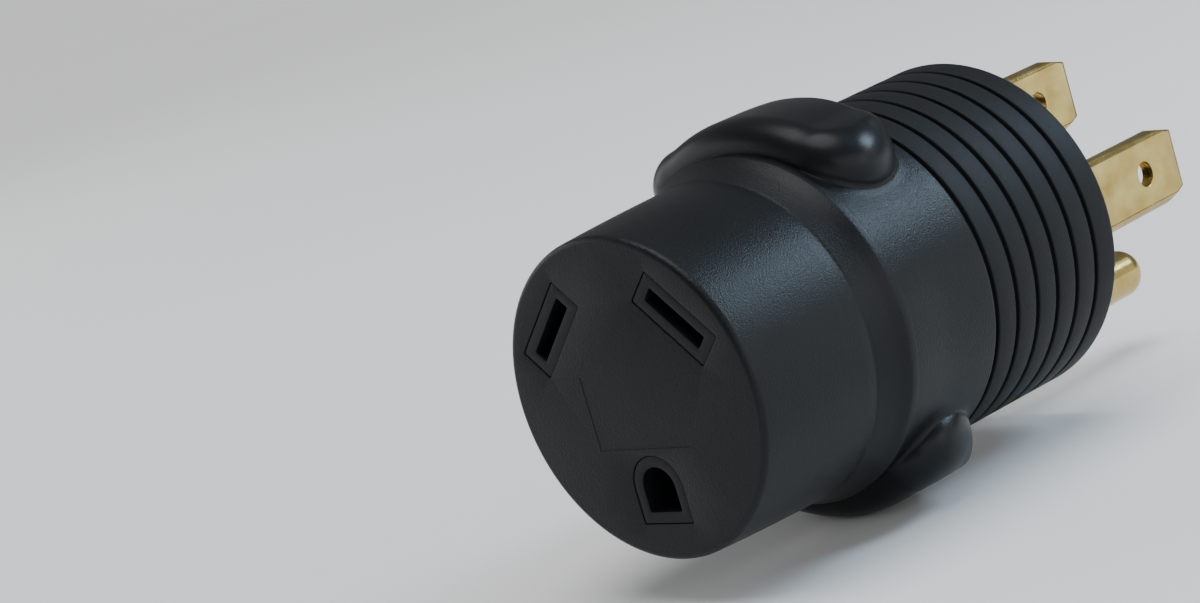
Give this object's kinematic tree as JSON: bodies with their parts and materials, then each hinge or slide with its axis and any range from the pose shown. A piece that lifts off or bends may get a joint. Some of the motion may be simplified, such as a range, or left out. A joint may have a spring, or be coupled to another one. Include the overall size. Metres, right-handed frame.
{
  "type": "power plug adapter",
  "caption": "Short moulded plug adapter: flat blades and a round ground pin at one end, an angled-slot receptacle at the other, finger grips and ribs between.",
  "frame": {"origin": "centre of the plug face, where the body meets the outlet", "axes": "+Y along the body axis out of the plug face, with the blades; +Z towards the neutral blade; the receptacle faces -Y"},
  "size_m": [0.045, 0.0969, 0.052],
  "materials": {
    "jacket_pvc": "soft black PVC, fine matte moulded texture",
    "insert_plastic": "hard black moulded plastic, satin",
    "core_pvc": "dark grey moulded PVC, matte",
    "blade_brass": "stamped and rolled brass, satin",
    "contact_brass": "stamped brass, satin",
    "spring_steel": "spring steel",
    "wire_copper": "bare copper strand",
    "wire_black": "black PVC cover",
    "wire_white": "white PVC cover",
    "wire_green": "green PVC cover"
  },
  "bodies": {
    "root": {"outer_jacket": "jacket_pvc", "receptacle_insert": "insert_plastic", "receptacle_insert_back": "insert_plastic", "plug_insert": "insert_plastic", "plug_insert_cap": "insert_plastic", "inner_core": "core_pvc", "live_blade": "blade_brass", "idle_blade": "blade_brass", "neutral_blade": "blade_brass", "plug_ground_pin": "blade_brass", "hot_contact": "contact_brass", "neutral_contact": "contact_brass", "ground_contact": "contact_brass", "ground_contact_spring": "spring_steel", "hot_conductor": "wire_copper", "neutral_conductor": "wire_copper", "ground_conductor": "wire_copper", "hot_insulation": "wire_black", "neutral_insulation": "wire_white", "ground_insulation": "wire_green"}
  },
  "joints": []
}
